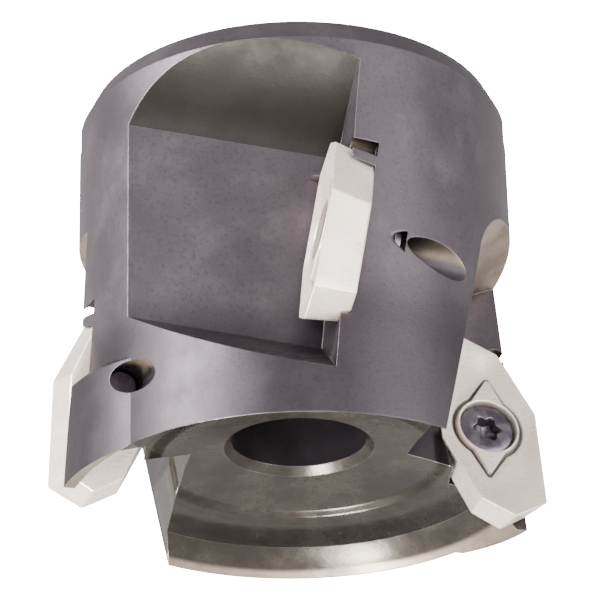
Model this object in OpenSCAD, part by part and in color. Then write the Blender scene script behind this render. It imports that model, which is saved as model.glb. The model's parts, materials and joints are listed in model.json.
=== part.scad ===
// Indexable shell face mill with two staggered rows of screw-on inserts.
// Right-hand cutter: seen from the spindle end it turns clockwise.
// The origin is the centre of the mounting face and +Z points into the spindle.
// All lengths are in millimetres and all angles are in degrees.

/* [Body] */
// Outside diameter of the body
body_d = 44.45; // [44:0.05:45]
// Height of the body, from its cutting-end rim to the mounting face
body_h = 42.7; // [42:0.1:44]
// Width of the bevel round the spindle end
bevel_w = 1.2; // [0.5:0.1:1.5]
// Height of the bevel round the spindle end
bevel_h = 2.4; // [1:0.1:2.5]

/* [Spindle end] */
// Diameter of the pilot bore that fits the arbor
pilot_d = 19.05; // [15.875:0.005:19.05]
// Depth of the pilot bore below the mounting face
pilot_depth = 20; // [16:0.5:22]
// Diameter of the hole for the arbor screw
screw_hole_d = 13.5; // [10:0.1:14]
// Width of each drive key slot
slot_w = 7.94; // [6:0.01:8]
// Depth of each drive key slot
slot_depth = 4.76; // [3:0.01:5]

/* [Cutting end] */
// Radius at which the rim's steep cone meets the dish
dish_rim_r = 20.1; // [19.5:0.1:20.5]
// Height of that edge above the rim
dish_rim_z = 2.75; // [2:0.05:3]
// Radius of the raised ring round the arbor screw hole
dish_step_r = 14.6; // [14:0.1:15]
// Height of the ring's outer edge above the rim
dish_step_z = 4.25; // [3.8:0.05:4.5]
// Height of the arbor screw hole's mouth above the rim
dish_top_z = 6.5; // [6:0.1:7]

/* [Teeth] */
// Azimuth of the first lower tooth
first_tooth = 7; // [0:1:10]
// Angle by which the upper row leads the lower row
row_lead = 94; // [90:1:95]
// Distance along the axis between the two rows
row_rise = 11; // [10.5:0.1:11.5]
// Inward tilt of each insert's face, its negative radial rake
radial_tilt = 9.5; // [8:0.5:10]
// Lean of each insert's face, its positive axial rake
axial_lean = 10.5; // [10:0.5:11]
// Distance of the lower inserts' screws from the mill's axis
seat_r = 19.7; // [19.6:0.05:19.8]
// How far the insert's centre lies behind its radial plane
seat_back = 1.2; // [1:0.1:1.4]
// Height of the lower inserts' screws above the rim
seat_z = 9.3; // [9:0.1:9.5]

/* [Inserts] */
// Thickness of an insert
insert_t = 4.2; // [4:0.1:4.5]
// Half of the width of an insert across its long edges
insert_half_w = 5.2; // [5:0.1:5.3]
// Half of the length of an insert from nose to nose
insert_half_l = 10.7; // [10.5:0.1:11]
// Gap between an insert and the walls of its pocket
pocket_gap = 0.06; // [0.05:0.01:0.1]

/* [Insert screws] */
// Thread diameter of an insert screw
thread_d = 4; // [3.5:0.1:4]
// Diameter of an insert screw's head
head_d = 5.8; // [5.4:0.1:6]
// Depth of an insert screw, from the insert's face to its tip
screw_reach = 8; // [7.5:0.1:8.5]
// Width of the six-lobed drive recess across its lobes
drive_d = 2.9; // [2.5:0.1:3]

/* [Hidden] */
$fn = 96;

body_r = body_d / 2;
pilot_r = pilot_d / 2;
screw_hole_r = screw_hole_d / 2;
edge_break = 0.8;
beyond = 40;
skin = 0.01;

// Stations: azimuth and height of each insert's centre above the rim.
lower_right = [first_tooth, seat_z];
lower_left = [first_tooth + 180, seat_z];
upper_front = [first_tooth - row_lead, seat_z + row_rise];
upper_back = [first_tooth - row_lead + 180, seat_z + row_rise];
lower_row = [lower_right, lower_left];
upper_row = [upper_front, upper_back];

// Upper chip gullets: a flat floor with a ramp below it and a hollow ramp above it.
upper_floor_r = 14.2;
upper_ramp_z = 10.2;
upper_ramp_slope = 0.65;
upper_run_out_z = 31;
upper_top_z = 39;
upper_run_out_r = 20;

// Lower chip gullets: the floor leans outwards as it climbs and is open at the rim.
lower_floor_r = 9.4;
lower_floor_slope = 0.258;
lower_run_out_z = 19.1;
lower_top_z = 26.4;
lower_run_out_r = 12;

// Depth by which a gullet's straight floor overlaps the hollow ramp above it.
run_out_lap = 1;

// The wall of a tooth: how far it lies behind the insert's face at the screw, and its lean.
lower_setback = 0.35;
lower_wall_lean = axial_lean;
upper_setback = 2.4;
upper_wall_lean = 5.6;

// Lands behind the lower teeth: an eccentric pad that falls away from the insert.
pad_r = 17.1;
pad_offset = 7.1;
pad_top_z = 9;
pad_foot_z = -1.2;
pad_foot_rise = 4;

// Outline of an insert: two long cutting edges, each with a nose facet and a back-off facet.
edge_foot_v = -8.9;
edge_head_v = 1.9;
nose_u = 1.7;
heel_u = 1.8;
heel_v = 8.9;
half_outline = [[insert_half_w, edge_foot_v], [insert_half_w, edge_head_v], [heel_u, heel_v],
    [-nose_u, insert_half_l]];
insert_outline = concat(half_outline, [for (p = half_outline) -p]);
seat_scale = [0.82, 0.92];
edge_land = 0.96;
groove_depth = 0.55;
boss_depth = 0.2;
boss_outline = [[3.7, -0.4], [0.5, 6.8], [-3.7, 0.4], [-0.5, -6.8]];
boss_foot_scale = [0.9, 0.9];
boss_top_scale = [0.78, 0.84];
countersink_slope = 0.577;
head_drop = 0.7;
head_rim = 0.6;
insert_hole_gap = 0.12;
thread_gap = 0.04;

// Past its screw's tip, a screw hole goes on through the body at the thread's core diameter.
tip_gap = 0.5;
exit_d = 3.3;

head_chamfer = 0.25;
tip_chamfer = 0.5;

// Six-lobed drive recess, its lobe radius and its core as shares of its width.
drive_depth = 1.5;
lobe_share = 0.15;
core_share = 0.78;

// Pocket walls follow the insert's inner sides. Outwards the pocket is open past every land.
pocket_outer_u = 5.6;
pocket_foot_v = -18;
relief_r = 0.9;
relief_inset = [0.88, 0.95];
pocket_clear = 1;

// Puts its children in the frame of the body's cutting-end rim.
module from_rim() {
    translate([0, 0, -body_h]) children();
}

// Puts its children at a station: X outwards, Y up a face of the given lean, Z out of it.
module at_station(station, lean) {
    rotate([0, 0, station[0]])
        translate([seat_r, seat_back, station[1]])
            rotate([90 - lean, 0, radial_tilt])
                children();
}

module at_insert(station) {
    at_station(station, axial_lean) children();
}

// Stretches a profile of radius and height along the way a gullet runs ahead of its tooth.
module along_gullet(station, turn) {
    rotate([0, 0, station[0] + turn])
        rotate([-axial_lean, 0, 0])
            rotate([90, 0, 0])
                translate([0, 0, -beyond / 2])
                    linear_extrude(height = 2 * beyond)
                        children();
}

// Everything in front of a tooth's wall.
module ahead_of_wall(station, setback, lean) {
    at_station(station, lean)
        translate([-beyond, -beyond, -setback])
            cube(2 * beyond);
}

// Hollow ramp that climbs from a gullet's floor at start to the body's surface at end.
// The line of the floor, carried on upwards with the given slope, bounds it on the inside.
module hollow_ramp(start, end, slope, r) {
    chord = end - start;
    half = norm(chord) / 2;
    reach = sqrt(r * r - half * half);
    centre = (start + end) / 2 + reach * [chord[1], -chord[0]] / (2 * half);
    foot = start - 2 * run_out_lap * [slope, 1];
    intersection() {
        translate(centre) circle(r = r);
        polygon([foot, start + chord[1] * [slope, 1], [start[0] + 2 * r, end[1]],
            [start[0] + 2 * r, foot[1]]]);
    }
}

module upper_gullet_profile() {
    ramp_drop = upper_ramp_slope * (beyond - upper_floor_r);
    lap_z = upper_run_out_z - run_out_lap;
    polygon([[upper_floor_r, upper_ramp_z], [beyond, upper_ramp_z - ramp_drop],
        [beyond, lap_z], [upper_floor_r, lap_z]]);
    hollow_ramp([upper_floor_r, upper_run_out_z], [body_r, upper_top_z], 0, upper_run_out_r);
}

module lower_gullet_profile() {
    run_out_x = lower_floor_r + lower_floor_slope * lower_run_out_z;
    lap_z = lower_run_out_z - run_out_lap;
    polygon([[lower_floor_r - lower_floor_slope * beyond, -beyond], [beyond, -beyond],
        [beyond, lap_z], [lower_floor_r + lower_floor_slope * lap_z, lap_z]]);
    hollow_ramp([run_out_x, lower_run_out_z], [body_r, lower_top_z], lower_floor_slope,
        lower_run_out_r);
}

module upper_gullet(station) {
    intersection() {
        along_gullet(station, 0) upper_gullet_profile();
        ahead_of_wall(station, upper_setback, upper_wall_lean);
    }
}

module lower_gullet(station) {
    intersection() {
        along_gullet(station, radial_tilt) lower_gullet_profile();
        ahead_of_wall(station, lower_setback, lower_wall_lean);
    }
}

// Foot of a pocket's outline: cut open to the rim, or closed round the insert's nose.
open_foot = [[0, pocket_foot_v], [pocket_outer_u, pocket_foot_v]];
function closed_foot(grow) = [
    [-heel_u * grow[0], -heel_v * grow[1] - pocket_gap],
    [nose_u * grow[0], -insert_half_l * grow[1] - pocket_gap],
    [insert_half_w * grow[0] + pocket_gap, edge_foot_v * grow[1] - pocket_gap],
    [pocket_outer_u, edge_foot_v * grow[1] - pocket_gap]
];

// Slab of the pocket's shape at a height above the seat, as wide as the insert is there.
module pocket_slab(height, is_open) {
    grow = [for (s = seat_scale) s + (1 - s) * height / insert_t];
    inner_u = -insert_half_w * grow[0] - pocket_gap;
    translate([0, 0, height - insert_t])
        linear_extrude(height = skin)
            polygon(concat([[inner_u, -edge_head_v * grow[1]]],
                is_open ? open_foot : closed_foot(grow),
                [[pocket_outer_u, edge_head_v * grow[1] + pocket_gap],
                [heel_u * grow[0] + pocket_gap, heel_v * grow[1] + pocket_gap],
                [-nose_u * grow[0], insert_half_l * grow[1] + pocket_gap],
                [inner_u, -edge_foot_v * grow[1] + pocket_gap]]));
}

// Seat for an insert, with drilled reliefs at the corners and the hole for its screw.
module pocket(station, is_open) {
    inner_relief = [-insert_half_w * relief_inset[0], -edge_foot_v * relief_inset[1]];
    at_insert(station) {
        hull() {
            pocket_slab(0, is_open);
            pocket_slab(insert_t + pocket_clear, is_open);
        }
        for (corner = [inner_relief, [heel_u, heel_v]])
            translate([corner[0], corner[1], -insert_t])
                cylinder(r = relief_r, h = insert_t + pocket_clear);
        translate([0, 0, -screw_reach - tip_gap])
            cylinder(d = thread_d + 2 * thread_gap, h = screw_reach + tip_gap);
        translate([0, 0, -beyond / 2])
            cylinder(d = exit_d, h = beyond / 2);
    }
}

// Land behind a lower tooth, with a sloping ledge on top and a foot that rises to the rear.
module pad(station) {
    flare = pad_r + pad_offset - body_r;
    rotate([0, 0, station[0]])
        intersection() {
            translate([pad_offset, 0, 0]) {
                translate([0, 0, pad_foot_z])
                    cylinder(r = pad_r, h = pad_top_z - pad_foot_z);
                translate([0, 0, pad_top_z])
                    cylinder(r1 = pad_r, r2 = pad_r - flare, h = flare);
            }
            translate([0, 0, pad_foot_z])
                rotate([pad_foot_rise, 0, 0])
                    translate([0, -beyond / 2, 0])
                        cube(beyond);
        }
}

// Solid of revolution between the rim and the mounting face, without its openings.
module blank() {
    cylinder(r = body_r, h = body_h - bevel_h);
    translate([0, 0, body_h - bevel_h])
        cylinder(r1 = body_r, r2 = body_r - bevel_w, h = bevel_h);
}

// Dished hollow at the cutting end, the arbor screw's hole and the pilot bore.
module centre_cuts() {
    rim_slope = (body_r - dish_rim_r) / dish_rim_z;
    rotate_extrude()
        polygon([[0, -beyond], [body_r + beyond * rim_slope, -beyond], [dish_rim_r, dish_rim_z],
            [dish_step_r, dish_step_z], [screw_hole_r + edge_break, dish_top_z - edge_break],
            [screw_hole_r, dish_top_z], [screw_hole_r, body_h - pilot_depth],
            [pilot_r, body_h - pilot_depth], [pilot_r, body_h - edge_break],
            [pilot_r + edge_break, body_h], [pilot_r + edge_break, body_h + 1], [0, body_h + 1]]);
}

module drive_slots() {
    translate([-beyond, -slot_w / 2, body_h - slot_depth])
        cube([2 * beyond, slot_w, slot_depth + 1]);
}

module cutter_body() {
    color("#4d484c")
        from_rim()
            difference() {
                union() {
                    blank();
                    for (station = lower_row) pad(station);
                }
                centre_cuts();
                drive_slots();
                for (station = lower_row) lower_gullet(station);
                for (station = upper_row) upper_gullet(station);
                for (station = lower_row) pocket(station, true);
                for (station = upper_row) pocket(station, false);
            }
}

// Thin slab of an outline, scaled by grow, at a height in an insert's frame.
module slab(outline, grow, height) {
    translate([0, 0, height])
        linear_extrude(height = skin)
            polygon([for (p = outline) [p[0] * grow[0], p[1] * grow[1]]]);
}

// Chip groove: it falls from the cutting edges to the foot of the boss round the screw.
module chip_groove() {
    difference() {
        hull() {
            slab(insert_outline, [edge_land, edge_land], 0);
            slab(boss_outline, [1, 1], -groove_depth);
        }
        hull() {
            slab(boss_outline, boss_foot_scale, -groove_depth - skin);
            slab(boss_outline, boss_top_scale, -boss_depth);
        }
    }
}

module insert(station) {
    cone_r = head_d / 2 + insert_hole_gap;
    color("#d9d2c4")
        from_rim()
            at_insert(station)
                difference() {
                    hull() {
                        slab(insert_outline, [1, 1], -skin);
                        slab(insert_outline, seat_scale, -insert_t);
                    }
                    chip_groove();
                    rotate_extrude()
                        polygon([[0, 1], [cone_r, 1], [cone_r, -head_drop - head_rim],
                            [thread_d / 2 + insert_hole_gap, -head_drop - head_rim
                                - (head_d - thread_d) / 2 / countersink_slope],
                            [thread_d / 2 + insert_hole_gap, -insert_t - 1],
                            [0, -insert_t - 1]]);
                }
}

// Six-lobed recess of an insert screw's head.
module drive_recess() {
    lobe_r = drive_d * lobe_share;
    translate([0, 0, -head_drop - drive_depth]) {
        cylinder(d = drive_d * core_share, h = drive_depth + 1);
        for (turn = [0 : 60 : 300])
            rotate([0, 0, turn])
                translate([drive_d / 2 - lobe_r, 0, 0])
                    cylinder(r = lobe_r, h = drive_depth + 1);
    }
}

module insert_screw(station) {
    head_r = head_d / 2;
    thread_r = thread_d / 2;
    cone_end = -head_drop - head_rim - (head_r - thread_r) / countersink_slope;
    color("#5a5360")
        from_rim()
            at_insert(station)
                difference() {
                    rotate_extrude()
                        polygon([[0, -head_drop], [head_r - head_chamfer, -head_drop],
                            [head_r, -head_drop - head_chamfer],
                            [head_r, -head_drop - head_rim], [thread_r, cone_end],
                            [thread_r, -screw_reach + tip_chamfer],
                            [thread_r - tip_chamfer, -screw_reach], [0, -screw_reach]]);
                    drive_recess();
                }
}

module insert_lower_right() insert(lower_right);
module insert_lower_left() insert(lower_left);
module insert_upper_front() insert(upper_front);
module insert_upper_back() insert(upper_back);
module screw_lower_right() insert_screw(lower_right);
module screw_lower_left() insert_screw(lower_left);
module screw_upper_front() insert_screw(upper_front);
module screw_upper_back() insert_screw(upper_back);

cutter_body();
insert_lower_right();
insert_lower_left();
insert_upper_front();
insert_upper_back();
screw_lower_right();
screw_lower_left();
screw_upper_front();
screw_upper_back();
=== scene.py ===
"""Looks of an indexable shell face mill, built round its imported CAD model.

The blackened body is the CAD node with a procedural material. Every insert and insert screw is
a finer mesh that stands for its CAD node. All lengths are in metres, in the CAD model's frame:
the mounting face lies at z = 0 and the cutting end points down.
"""

import json
import math

import bpy
from mathutils import Matrix, Quaternion, Vector


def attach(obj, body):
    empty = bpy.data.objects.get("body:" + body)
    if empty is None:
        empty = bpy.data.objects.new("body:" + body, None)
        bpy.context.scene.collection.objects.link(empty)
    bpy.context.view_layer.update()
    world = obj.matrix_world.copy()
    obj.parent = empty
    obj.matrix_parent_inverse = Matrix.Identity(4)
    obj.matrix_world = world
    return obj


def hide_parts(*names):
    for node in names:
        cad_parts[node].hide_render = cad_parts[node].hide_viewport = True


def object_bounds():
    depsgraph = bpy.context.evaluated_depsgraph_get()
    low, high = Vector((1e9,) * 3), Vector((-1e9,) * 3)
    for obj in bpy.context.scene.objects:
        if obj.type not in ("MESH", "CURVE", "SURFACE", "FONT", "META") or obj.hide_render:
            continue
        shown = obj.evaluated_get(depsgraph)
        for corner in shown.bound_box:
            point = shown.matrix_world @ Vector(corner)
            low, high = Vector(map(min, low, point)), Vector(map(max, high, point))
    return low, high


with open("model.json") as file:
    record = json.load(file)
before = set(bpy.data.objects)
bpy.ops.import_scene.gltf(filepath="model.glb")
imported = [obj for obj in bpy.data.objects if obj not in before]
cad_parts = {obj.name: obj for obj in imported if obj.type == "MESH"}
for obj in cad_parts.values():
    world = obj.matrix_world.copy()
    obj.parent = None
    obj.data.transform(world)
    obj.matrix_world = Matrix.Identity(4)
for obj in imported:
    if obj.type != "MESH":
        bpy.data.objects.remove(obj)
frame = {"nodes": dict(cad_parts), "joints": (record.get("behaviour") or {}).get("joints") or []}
cad_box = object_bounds()

MM = 0.001
STATIONS = ("lower_right", "lower_left", "upper_front", "upper_back")

# Body. The inserts reach below the rim, so its height is counted down from the mounting face.
BODY_H = 42.7 * MM
RIM_Z = cad_box[1].z - BODY_H
DISH_R = 21.7 * MM
DISH_TOP_Z = RIM_Z + 7.7 * MM
DISH_STEP_R = (13.6 * MM, 15.3 * MM)
DISH_STEP_FADE_R = (16.0 * MM, 21.5 * MM)
DISH_STEP_RISE = 1.2 * MM
UPPER_RUN_OUT_Z = RIM_Z + 30 * MM
SHADED_BAND_Z = (RIM_Z + 10 * MM, RIM_Z + 17 * MM)
TURNING_PITCH = 0.22 * MM

# Finishes, with painted light and shade, as linear colours
BLACK_LOW = (0.098, 0.082, 0.094, 1)
BLACK_HIGH = (0.118, 0.100, 0.112, 1)
BLACK_PATCH = (0.145, 0.125, 0.137, 1)
BLACK_PIT = (0.055, 0.045, 0.055, 1)
# Painted shade for a band part way up the body
PAINTED_BAND_SHADE = (0.030, 0.024, 0.029, 1)
# Painted light on faces that look down: a tan painted reflection, dark olive painted shade, and a
# stain over the reflection
PAINTED_TAN_REFLECTION = (0.36, 0.285, 0.22, 1)
PAINTED_OLIVE_SHADE = (0.016, 0.0135, 0.011, 1)
PAINTED_REFLECTION_STAIN = (0.02, 0.017, 0.015, 1)
DISH_LOW = (0.045, 0.038, 0.031, 1)
DISH_HIGH = (0.080, 0.069, 0.056, 1)
DISH_PIT = (0.035, 0.029, 0.024, 1)
# Painted shade in holes, pocket corners and creases
PAINTED_HOLLOW_SHADE = (0.012, 0.009, 0.011, 1)
# Worn edges, which inside the dish also carry a painted highlight
WORN_EDGE_AND_HIGHLIGHT = (0.50, 0.45, 0.40, 1)
CARBIDE_LOW = (0.94, 0.78, 0.67, 1)
CARBIDE_HIGH = (0.99, 0.87, 0.77, 1)
CARBIDE_PIT = (0.74, 0.62, 0.53, 1)
CARBIDE_WORN = (0.97, 0.95, 0.91, 1)
# Painted shade in the insert's chip groove and screw hole
PAINTED_SHADE_COLOUR = (0.045, 0.04, 0.04, 1)
SCREW_LOW = (0.10, 0.085, 0.11, 1)
SCREW_HIGH = (0.17, 0.145, 0.17, 1)
SCREW_WORN = (0.42, 0.39, 0.4, 1)

# Cosine of a bevel's turn of the normal: a full edge at the first, none at the second
EDGE_COSINES = (0.90, 0.995)

# Lamps: place from the part's centre, width and power
LAMPS = {
    "key": ((-0.45, -0.32, 0.14), 0.35, 11.0),
    "fill": ((0.45, -0.36, 0.02), 0.40, 3.8),
    "dish": ((-0.06, -0.04, -0.16), 0.045, 0.6),
}
FLOOR_Z = -0.21

# Points round each ring of an insert's or a screw's mesh, before an outline's own corners
SPOKES = 72

# Insert
INSERT_T = 4.2 * MM
HALF_OUTLINE = ((5.2, -8.9), (5.2, 1.9), (1.8, 8.9), (-1.7, 10.7))
SEAT_SCALE = (0.82, 0.92)
CORNER_R = 0.5
LAND_SCALE = 0.955
GROOVE_DEPTH = 0.55 * MM
HALF_BOSS = ((3.7, -0.4), (0.5, 6.8))
BOSS_R = 0.35
BOSS_TOP_SCALE = 0.86
BOSS_DEPTH = 0.2 * MM
BOSS_STEP = 0.22 * MM
GROOVE_SLOT = 0.34 * MM
SLOT_DEPTH = 0.3 * MM
HONE = 0.05 * MM
HOLE_R = 3.02 * MM
HOLE_CHAMFER = 0.12 * MM
BORE_R = 2.12 * MM

# Insert screw
HEAD_R = 2.9 * MM
HEAD_DROP = 0.7 * MM
HEAD_RIM = 0.6 * MM
CONE_SLOPE = 0.577
THREAD_R = 2.0 * MM
THREAD_DEPTH = 0.3 * MM
THREAD_PITCH = 0.7 * MM
SCREW_REACH = 8.0 * MM
TIP_CHAMFER = 0.5 * MM
DRIVE_R = 1.45 * MM
DRIVE_LOBE = 0.13
DRIVE_DEPTH = 1.5 * MM


# ---------------------------------------------------------------- outlines
def rounded(corners, radius, steps=5):
    """A closed outline's points, with an arc of the given radius at each corner."""
    points = []
    count = len(corners)
    for i, corner in enumerate(corners):
        here = Vector(corner)
        back = (Vector(corners[i - 1]) - here).normalized()
        ahead = (Vector(corners[(i + 1) % count]) - here).normalized()
        half = back.angle(ahead) / 2
        middle = here + (back + ahead).normalized() * (radius / math.sin(half))
        start = here + back * (radius / math.tan(half)) - middle
        end = here + ahead * (radius / math.tan(half)) - middle
        sweep = start.angle_signed(end)
        for step in range(steps + 1):
            turn = Matrix.Rotation(-sweep * step / steps, 2)
            points.append(middle + turn @ start)
    return points


def reach(outline, angle):
    """Distance from the centre to a closed outline in the direction of an angle."""
    way = Vector((math.cos(angle), math.sin(angle)))
    best = 0.0
    for i, a in enumerate(outline):
        side = outline[(i + 1) % len(outline)] - a
        cross = way.x * side.y - way.y * side.x
        if abs(cross) < 1e-9:
            continue
        along = (a.x * side.y - a.y * side.x) / cross
        share = (a.x * way.y - a.y * way.x) / cross
        if -1e-6 <= share <= 1 + 1e-6:
            best = max(best, along)
    return best


def both_halves(half):
    """A two-fold outline from half of its corners."""
    return list(half) + [(-x, -y) for x, y in half]


# ---------------------------------------------------------------- meshes
def stacked_rings(name, rings, closed, painted_shade=None):
    """A mesh through rings of equally many points: a closed ring of rings, or capped at both ends.

    The last argument gives each ring's share of painted shade, which the material reads as an
    attribute.
    """
    count = len(rings[0])
    points = [p for ring in rings for p in ring]
    faces = []
    last = len(rings) if closed else len(rings) - 1
    for r in range(last):
        a, b = r * count, (r + 1) % len(rings) * count
        for i in range(count):
            j = (i + 1) % count
            faces.append((a + i, a + j, b + j, b + i))
    if not closed:
        faces.append(tuple(reversed(range(count))))
        top = (len(rings) - 1) * count
        faces.append(tuple(range(top, top + count)))
    mesh = bpy.data.meshes.new(name)
    mesh.from_pydata(points, [], faces)
    mesh.validate()
    mesh.update()
    if painted_shade:
        shares = [share for share in painted_shade for _ in range(count)]
        mesh.attributes.new("painted_shade", "FLOAT", "POINT").data.foreach_set("value", shares)
    return mesh


def show(name, mesh, place, material, sharp_deg):
    """Links a mesh as an object, placed by its vertices, with edges over sharp_deg kept crisp."""
    mesh.transform(place)
    mesh.materials.append(material)
    mesh.shade_smooth()
    mesh.set_sharp_from_angle(angle=math.radians(sharp_deg))
    piece = bpy.data.objects.new(name, mesh)
    bpy.context.scene.collection.objects.link(piece)
    return piece


def screw_frame(station):
    """Matrix of a station's insert, from its screw's joint: Y up its edge and Z out of its face."""
    joint = next(j for j in frame["joints"] if j["name"] == f"screw_{station}_turn")
    out = Vector(joint["axis"]).normalized()
    across = Vector((-out.y, out.x, 0)).normalized()
    up = out.cross(across)
    turn = Matrix((across, up, out)).transposed().to_4x4()
    return Matrix.Translation(Vector(joint["pos_m"])) @ turn


def insert_mesh(name):
    """A ground insert: relieved flanks, honed edge, chip groove round a flat boss, screw seat."""
    rim = rounded(both_halves(HALF_OUTLINE), CORNER_R)
    boss = rounded(both_halves(HALF_BOSS), BOSS_R)
    angles = {round(2 * math.pi * i / SPOKES, 6) for i in range(SPOKES)}
    angles |= {round(math.atan2(p.y, p.x) % (2 * math.pi), 6) for p in rim + boss}
    angles = sorted(angles)
    rim_r = [reach(rim, a) * MM for a in angles]
    boss_r = [reach(boss, a) * MM for a in angles]

    def ring(radii, z, scale=(1, 1)):
        return [(r * math.cos(a) * scale[0], r * math.sin(a) * scale[1], z)
            for r, a in zip(radii, angles)]

    def circle(r, z):
        return ring([r] * len(angles), z)

    seat_z = -HEAD_DROP - HEAD_RIM
    cone_foot = seat_z - (HEAD_R - THREAD_R) / CONE_SLOPE
    boss_top = [max(r * BOSS_TOP_SCALE, HOLE_R + 2 * HOLE_CHAMFER) for r in boss_r]
    slot_in = [r + BOSS_STEP for r in boss_top]
    slot_out = [r + GROOVE_SLOT for r in slot_in]
    # Each ring's first number is its share of painted shade: full in the groove's slot, partial on
    # the screw hole's wall and the groove's outer foot.
    rings = [
        (0, circle(BORE_R, -INSERT_T)),
        (0, circle(BORE_R, cone_foot)),
        (0.3, circle(HOLE_R, seat_z)),
        (0.3, circle(HOLE_R, -BOSS_DEPTH - HOLE_CHAMFER)),
        (0, circle(HOLE_R + HOLE_CHAMFER, -BOSS_DEPTH)),
        (0, ring(boss_top, -BOSS_DEPTH)),
        (1, ring(slot_in, -GROOVE_DEPTH - SLOT_DEPTH)),
        (1, ring([(a + b) / 2 for a, b in zip(slot_in, slot_out)], -GROOVE_DEPTH - SLOT_DEPTH)),
        (0.25, ring(slot_out, -GROOVE_DEPTH)),
    ]
    # The groove sweeps up in a hollow curve from the slot to the land along the edge.
    for step in range(1, 6):
        share = step / 6
        radii = [b + (e * LAND_SCALE - b) * share for b, e in zip(slot_out, rim_r)]
        rings.append((0, ring(radii, -GROOVE_DEPTH * math.cos(share * math.pi / 2))))
    rings += [
        (0, ring([r * LAND_SCALE for r in rim_r], -0.2 * HONE)),
        (0, ring([r - HONE for r in rim_r], 0)),
        (0, ring(rim_r, -HONE)),
        (0, ring(rim_r, -INSERT_T + 3 * HONE, SEAT_SCALE)),
        (0, ring([r - 3 * HONE for r in rim_r], -INSERT_T, SEAT_SCALE)),
    ]
    painted_shade, rings = zip(*rings)
    return stacked_rings(name, rings, closed=True, painted_shade=painted_shade)


def screw_mesh(name):
    """A countersunk screw with a six-lobed recess and a rolled thread."""
    angles = [2 * math.pi * i / SPOKES for i in range(SPOKES)]

    def ring(radius, z):
        return [(radius(a) * math.cos(a), radius(a) * math.sin(a), z) for a in angles]

    def circle(r, z):
        return ring(lambda a: r, z)

    def lobes(scale, z):
        return ring(lambda a: scale * DRIVE_R * (1 - DRIVE_LOBE + DRIVE_LOBE * math.cos(6 * a)), z)

    top = -HEAD_DROP
    cone_end = top - HEAD_RIM - (HEAD_R - THREAD_R) / CONE_SLOPE
    rings = [lobes(0.3, top - DRIVE_DEPTH), lobes(0.94, top - DRIVE_DEPTH + 0.2 * MM),
        lobes(1, top - 0.15 * MM), lobes(1.09, top),
        circle(0.7 * HEAD_R, top + 0.06 * MM), circle(HEAD_R - 0.3 * MM, top),
        circle(HEAD_R - 0.07 * MM, top - 0.1 * MM), circle(HEAD_R, top - 0.3 * MM),
        circle(HEAD_R, top - HEAD_RIM), circle(THREAD_R, cone_end)]
    # Each point of the shank is as deep in the thread as its height and angle put it.
    thread_foot = -SCREW_REACH + TIP_CHAMFER
    steps = round((cone_end - thread_foot) / THREAD_PITCH * 10)
    for step in range(1, steps):
        z = cone_end + (thread_foot - cone_end) * step / steps
        fade = min(1, step / 8)

        def thread(a, z=z, fade=fade):
            phase = (z / THREAD_PITCH - a / (2 * math.pi)) % 1
            return THREAD_R - fade * THREAD_DEPTH * min(1, abs(phase - 0.5) * 2.3)

        rings.append(ring(thread, z))
    rings.append(circle(THREAD_R - THREAD_DEPTH, thread_foot))
    rings.append(circle(THREAD_R - TIP_CHAMFER, -SCREW_REACH))
    return stacked_rings(name, rings, closed=False)


# ---------------------------------------------------------------- materials
class Nodes:
    """A short way to write a material's node tree."""

    def __init__(self, name):
        self.material = bpy.data.materials.new(name)
        self.material.use_nodes = True
        self.tree = self.material.node_tree
        self.shader = self.tree.nodes["Principled BSDF"]

    def add(self, kind, settings=None, **inputs):
        """Adds a node. Inputs are given by name, with _ for a space, as values or as sockets."""
        node = self.tree.nodes.new(kind)
        for key, value in (settings or {}).items():
            setattr(node, key, value)
        for key, value in inputs.items():
            self.put(node, key.replace("_", " "), value)
        return node

    def put(self, node, key, value):
        socket = node.inputs[int(key)] if key.isdigit() else node.inputs[key]
        if isinstance(value, bpy.types.NodeSocket):
            self.tree.links.new(value, socket)
        else:
            socket.default_value = value

    def math(self, operation, a, b=0.0, clamp=False):
        node = self.add("ShaderNodeMath", {"operation": operation, "use_clamp": clamp})
        self.put(node, "0", a)
        self.put(node, "1", b)
        return node.outputs[0]

    def spread(self, value, low, high, to_low=0.0, to_high=1.0):
        """Maps a value smoothly from one range to another."""
        node = self.add("ShaderNodeMapRange", {"interpolation_type": "SMOOTHSTEP"})
        for key, given in zip(("Value", "From Min", "From Max", "To Min", "To Max"),
                (value, low, high, to_low, to_high)):
            self.put(node, key, given)
        return node.outputs["Result"]

    def mix(self, share, a, b):
        """Colour a where share is 0 and colour b where it is 1."""
        node = self.add("ShaderNodeMix", {"data_type": "RGBA"})
        self.put(node, "0", share)
        self.put(node, "6", a)
        self.put(node, "7", b)
        return node.outputs[2]

    def noise(self, place, scale, detail=4.0, roughness=0.6):
        node = self.add("ShaderNodeTexNoise", Vector=place, Scale=scale, Detail=detail,
            Roughness=roughness)
        return node.outputs["Fac"]

    def bump(self, height, distance, strength, normal=None):
        node = self.add("ShaderNodeBump", Height=height, Distance=distance, Strength=strength)
        if normal is not None:
            self.put(node, "Normal", normal)
        return node.outputs["Normal"]


def edge_share(n, radius):
    """1 on sharp edges and 0 away from them, and the bevelled normal that tells them apart."""
    bevel = n.add("ShaderNodeBevel", {"samples": 6}, Radius=radius)
    flat = n.add("ShaderNodeNewGeometry").outputs["Normal"]
    dot = n.add("ShaderNodeVectorMath", {"operation": "DOT_PRODUCT"})
    n.put(dot, "0", bevel.outputs["Normal"])
    n.put(dot, "1", flat)
    return n.spread(dot.outputs["Value"], *reversed(EDGE_COSINES)), bevel.outputs["Normal"]


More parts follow.
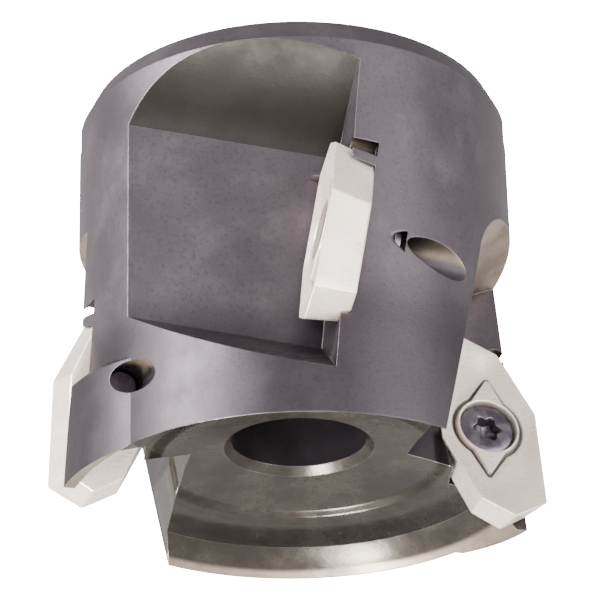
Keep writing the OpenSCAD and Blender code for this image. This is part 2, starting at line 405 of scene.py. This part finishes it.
def body_material():
    """Blackened steel: satin grain, turned rings on round faces, worn edges that carry a painted
    highlight, a browner dish, and painted light: a tan painted reflection and dark painted shade on
    faces that look down, a band of painted shade and painted shade in hollows.
    """
    n = Nodes("blackened_steel")
    place = n.add("ShaderNodeNewGeometry").outputs["Position"]
    split = n.add("ShaderNodeSeparateXYZ", Vector=place)
    x, y, z = (split.outputs[k] for k in "XYZ")
    radius = n.math("SQRT", n.math("ADD", n.math("MULTIPLY", x, x), n.math("MULTIPLY", y, y)))

    grain = n.noise(place, 2600, 3)
    blotch = n.noise(place, 190, 5)
    cloud = n.noise(place, 42, 3)
    worn, rounded_normal = edge_share(n, 0.16 * MM)
    worn = n.math("MULTIPLY", worn, n.spread(blotch, 0.35, 0.65, 0.2, 1.0), clamp=True)

    facing = n.add("ShaderNodeSeparateXYZ",
        Vector=n.add("ShaderNodeNewGeometry").outputs["Normal"])
    # The dish is what looks down inside the rim's radius, within a few millimetres of the rim.
    near_rim = n.spread(z, DISH_TOP_Z + 0.5 * MM, DISH_TOP_Z - 0.5 * MM)
    in_dish = n.math("MULTIPLY", n.spread(radius, DISH_R + 0.2 * MM, DISH_R - 0.2 * MM), near_rim)
    in_dish = n.math("MULTIPLY", in_dish, n.spread(facing.outputs["Z"], -0.05, -0.25))
    # Faces that look down, such as the gullets' run-outs, get painted light: a tan painted
    # reflection on the lower ones and dark olive painted shade on the upper ones.
    painted_light_share = n.spread(facing.outputs["Z"], -0.2, -0.6)
    sheltered = n.add("ShaderNodeAmbientOcclusion", {"samples": 8}, Distance=3.5 * MM)
    hollow = n.spread(sheltered.outputs["AO"], 0.72, 0.35)
    high = n.spread(z, UPPER_RUN_OUT_Z - 1 * MM, UPPER_RUN_OUT_Z + 1 * MM)

    dark = n.mix(n.spread(cloud, 0.35, 0.65), BLACK_LOW, BLACK_HIGH)
    dark = n.mix(n.spread(blotch, 0.5, 0.72, 0.0, 0.5), dark, BLACK_PATCH)
    dark = n.mix(n.spread(grain, 0.5, 0.68, 0.0, 0.35), dark, BLACK_PIT)
    # Painted shade: a band part way up the body is darkened.
    dark = n.mix(n.spread(z, *reversed(SHADED_BAND_Z), 0.0, 0.7), dark, PAINTED_BAND_SHADE)
    # Painted reflection and painted shade on faces that look down, with random stains over the tan.
    tan = n.mix(high, PAINTED_TAN_REFLECTION, PAINTED_OLIVE_SHADE)
    tan = n.mix(n.spread(blotch, 0.4, 0.65, 0.0, 0.4), tan, PAINTED_REFLECTION_STAIN)
    dark = n.mix(painted_light_share, dark, tan)
    olive = n.mix(n.spread(blotch, 0.35, 0.68), DISH_LOW, DISH_HIGH)
    olive = n.mix(n.spread(grain, 0.5, 0.68, 0.0, 0.5), olive, DISH_PIT)
    colour = n.mix(in_dish, dark, olive)
    # Holes, pocket corners and creases get painted shade, darkest where ambient occlusion is
    # deepest.
    colour = n.mix(n.math("MULTIPLY", hollow, 0.92), colour, PAINTED_HOLLOW_SHADE)
    # Edges take light worn steel: partly wear, and inside the dish a much stronger painted
    # highlight along the rings' edges.
    wear_and_highlight = n.math("MULTIPLY", worn, n.spread(in_dish, 0, 1, 0.22, 0.8))
    colour = n.mix(wear_and_highlight, colour, WORN_EDGE_AND_HIGHLIGHT)
    n.put(n.shader, "Base Color", colour)
    n.shader.inputs["Metallic"].default_value = 0.82

    rough = n.spread(blotch, 0.3, 0.7, 0.36, 0.5)
    rough = n.math("SUBTRACT", rough, n.math("MULTIPLY", in_dish, 0.18))
    rough = n.math("SUBTRACT", rough, n.math("MULTIPLY", worn, 0.12), clamp=True)
    n.put(n.shader, "Roughness", rough)

    # Turned rings follow the height on the outside and the radius in the dish.
    along = n.math("ADD", z, radius)
    lathe = n.math("SINE", n.math("MULTIPLY", along, 2 * math.pi / TURNING_PITCH))
    lathe = n.math("MULTIPLY", lathe, n.spread(blotch, 0.3, 0.7, 0.3, 1.0))
    # A bump stands for the rounded step between the dish's two levels.
    step = n.math("MULTIPLY", n.spread(radius, *DISH_STEP_R),
        n.spread(radius, *reversed(DISH_STEP_FADE_R)))
    step = n.math("MULTIPLY", step, near_rim)
    relief = n.bump(step, DISH_STEP_RISE, 1.0, rounded_normal)
    relief = n.bump(lathe, 0.004 * MM, 0.35, relief)
    relief = n.bump(grain, 0.03 * MM, 0.4, relief)
    n.put(n.shader, "Normal", n.bump(blotch, 0.05 * MM, 0.25, relief))
    return n.material


def carbide_material():
    """Ground carbide: bright and warm, with fine grinding lines, and painted shade in the chip
    groove and the screw hole.
    """
    n = Nodes("ground_carbide")
    place = n.add("ShaderNodeNewGeometry").outputs["Position"]
    grain = n.noise(place, 3200, 2)
    cloud = n.noise(place, 260, 4)
    worn, rounded_normal = edge_share(n, 0.12 * MM)
    lines = n.noise(n.add("ShaderNodeVectorMath", {"operation": "MULTIPLY"},
        **{"0": place, "1": (1.0, 1.0, 14.0)}).outputs["Vector"], 700, 3)
    colour = n.mix(n.spread(cloud, 0.35, 0.65), CARBIDE_LOW, CARBIDE_HIGH)
    colour = n.mix(n.spread(grain, 0.5, 0.7, 0.0, 0.3), colour, CARBIDE_PIT)
    colour = n.mix(n.math("MULTIPLY", worn, 0.5), colour, CARBIDE_WORN)
    # Painted shade darkens the chip groove's slot and the screw hole, read from the mesh's
    # attribute.
    painted_shade = n.add("ShaderNodeAttribute", {"attribute_name": "painted_shade"}).outputs["Fac"]
    colour = n.mix(n.math("MULTIPLY", painted_shade, 0.93), colour, PAINTED_SHADE_COLOUR)
    n.put(n.shader, "Base Color", colour)
    n.shader.inputs["Metallic"].default_value = 0.5
    n.put(n.shader, "Roughness", n.spread(lines, 0.3, 0.7, 0.26, 0.42))
    relief = n.bump(lines, 0.006 * MM, 0.4, rounded_normal)
    n.put(n.shader, "Normal", n.bump(grain, 0.01 * MM, 0.3, relief))
    return n.material


def screw_material():
    """Dark hardened steel with a violet temper tint, brighter where a driver has rubbed."""
    n = Nodes("screw_steel")
    place = n.add("ShaderNodeNewGeometry").outputs["Position"]
    blotch = n.noise(place, 900, 4)
    worn, rounded_normal = edge_share(n, 0.1 * MM)
    colour = n.mix(n.spread(blotch, 0.35, 0.65), SCREW_LOW, SCREW_HIGH)
    colour = n.mix(n.math("MULTIPLY", worn, 0.7), colour, SCREW_WORN)
    n.put(n.shader, "Base Color", colour)
    n.shader.inputs["Metallic"].default_value = 0.85
    n.put(n.shader, "Roughness", n.spread(blotch, 0.3, 0.7, 0.28, 0.44))
    n.put(n.shader, "Normal", n.bump(blotch, 0.01 * MM, 0.3, rounded_normal))
    return n.material


def floor_material():
    """Pale matt floor with a barely visible unevenness."""
    n = Nodes("pale_floor")
    place = n.add("ShaderNodeNewGeometry").outputs["Position"]
    colour = n.mix(n.noise(place, 3), (0.80, 0.80, 0.80, 1), (0.86, 0.86, 0.86, 1))
    n.put(n.shader, "Base Color", colour)
    n.shader.inputs["Roughness"].default_value = 0.8
    return n.material


# ---------------------------------------------------------------- the object
def dress_body():
    """The CAD body keeps its mesh and takes the blackened steel in every slot."""
    body = frame["nodes"]["cutter_body"]
    steel = body_material()
    for slot in body.material_slots:
        slot.material = steel


def add_inserts_and_screws():
    """Puts the detailed insert and screw at each station, riding on the CAD's own bodies."""
    carbide = carbide_material()
    steel = screw_material()
    for station in STATIONS:
        place = screw_frame(station)
        insert = show(f"ground_insert_{station}", insert_mesh("insert"), place, carbide, 22)
        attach(insert, f"insert_{station}")
        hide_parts(f"insert_{station}")
        screw = show(f"lobed_screw_{station}", screw_mesh("screw"), place, steel, 32)
        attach(screw, f"screw_{station}")
        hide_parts(f"screw_{station}")


# ---------------------------------------------------------------- the set
def add_floor():
    """A wide pale floor well below the part, which the camera looks up at."""
    bpy.ops.mesh.primitive_plane_add(size=6, location=(0, 0, FLOOR_Z))
    floor = bpy.context.object
    floor.name = "floor"
    floor.data.materials.append(floor_material())


def add_light(name, place, aim, size, power):
    light = bpy.data.lights.new(name, "AREA")
    light.shape = "DISK"
    light.size = size
    light.energy = power
    lamp = bpy.data.objects.new(name, light)
    lamp.visible_camera = False
    lamp.location = place
    lamp.rotation_mode = "QUATERNION"
    lamp.rotation_quaternion = (Vector(aim) - Vector(place)).to_track_quat("-Z", "Y")
    bpy.context.scene.collection.objects.link(lamp)


def add_lights(centre):
    """A soft key from the upper left, a weak fill from the right and a lamp under the dish."""
    for name, (place, width, power) in LAMPS.items():
        add_light(name, centre + Vector(place), centre, width, power)


def add_studio():
    """A world that is bright round the horizon and dim overhead, behind a plain white backdrop."""
    world = bpy.data.worlds.new("studio")
    world.use_nodes = True
    nodes, links = world.node_tree.nodes, world.node_tree.links
    glow = nodes["Background"]
    glow.inputs["Color"].default_value = (1.0, 0.985, 0.97, 1)
    way = nodes.new("ShaderNodeSeparateXYZ")
    links.new(nodes.new("ShaderNodeTexCoord").outputs["Generated"], way.inputs[0])
    fall = nodes.new("ShaderNodeMapRange")
    fall.interpolation_type = "SMOOTHSTEP"
    fall.inputs["From Min"].default_value = 0.05
    fall.inputs["From Max"].default_value = 0.75
    fall.inputs["To Min"].default_value = 1.25
    fall.inputs["To Max"].default_value = 0.45
    links.new(way.outputs["Z"], fall.inputs["Value"])
    links.new(fall.outputs["Result"], glow.inputs["Strength"])
    backdrop = nodes.new("ShaderNodeBackground")
    backdrop.inputs["Color"].default_value = (1, 1, 1, 1)
    backdrop.inputs["Strength"].default_value = 30
    pick = nodes.new("ShaderNodeMixShader")
    links.new(nodes.new("ShaderNodeLightPath").outputs["Is Camera Ray"], pick.inputs[0])
    links.new(glow.outputs[0], pick.inputs[1])
    links.new(backdrop.outputs[0], pick.inputs[2])
    links.new(pick.outputs[0], nodes["World Output"].inputs["Surface"])
    bpy.context.scene.world = world


def add_camera():
    """A long lens that looks up at the cutting end from 25 degrees below, rolled a little."""
    rise = math.radians(25.2)
    distance = 0.315
    aim = Vector((0, 0, RIM_Z + 20 * MM))
    forward = Vector((0, math.cos(rise), math.sin(rise)))
    data = bpy.data.cameras.new("camera")
    data.lens = 185
    data.shift_x = 0.0063
    data.shift_y = 0.0313
    data.clip_start = 0.01
    camera = bpy.data.objects.new("camera", data)
    camera.location = aim - forward * distance
    camera.rotation_mode = "QUATERNION"
    roll = Quaternion(forward, math.radians(1.25))
    camera.rotation_quaternion = roll @ forward.to_track_quat("-Z", "Y")
    bpy.context.scene.collection.objects.link(camera)
    bpy.context.scene.camera = camera


dress_body()
add_inserts_and_screws()
add_floor()
add_lights((cad_box[0] + cad_box[1]) / 2)
add_studio()
add_camera()
